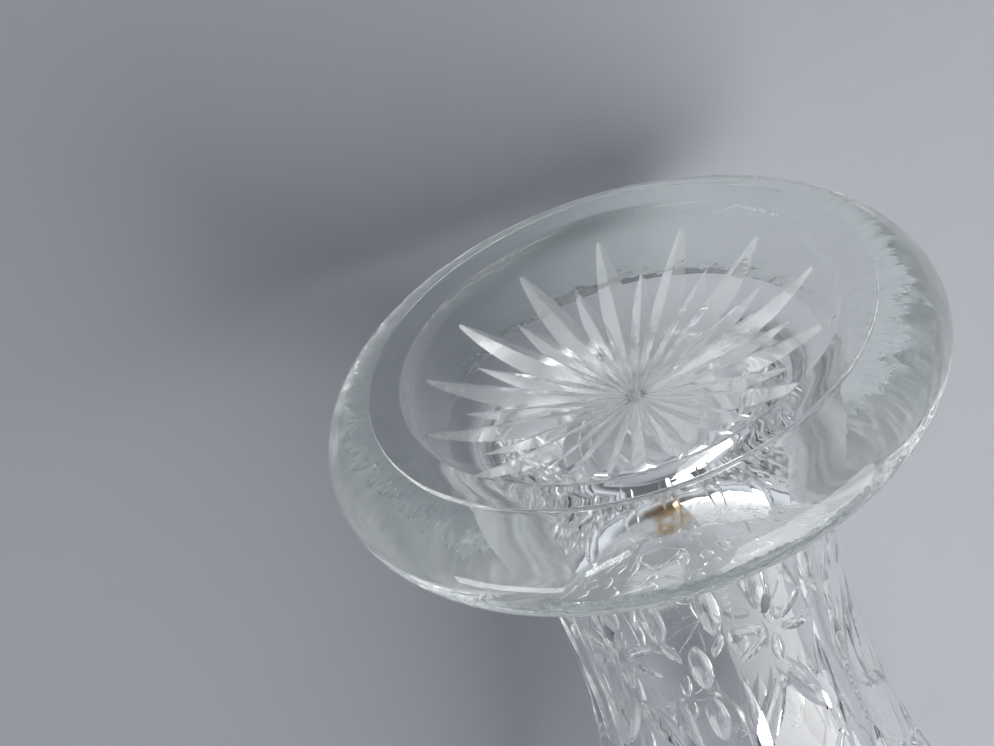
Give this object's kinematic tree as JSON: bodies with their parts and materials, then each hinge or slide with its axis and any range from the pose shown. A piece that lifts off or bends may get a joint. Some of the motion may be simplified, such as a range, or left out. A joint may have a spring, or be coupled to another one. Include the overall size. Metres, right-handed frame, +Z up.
{
  "type": "hyacinth forcing vase",
  "caption": "Clear pressed-glass vase that holds one bulb in its flared cup above the water, on a heavy round foot with a star pressed underneath.",
  "frame": {"origin": "centre of the circle that the standing ring rests on", "axes": "+Z up along the vase's axis, from the foot to the mouth; +X passes through the middle of one long ray of the star"},
  "size_m": [0.095, 0.095, 0.157],
  "materials": {
    "foot_glass": "thick clear soda glass, fire polished, with a faint green tint in its depth",
    "body_glass": "clear soda glass, fire polished, with pressed leaves and flowers"
  },
  "bodies": {
    "root": {"foot": "foot_glass", "body": "body_glass"}
  },
  "joints": []
}
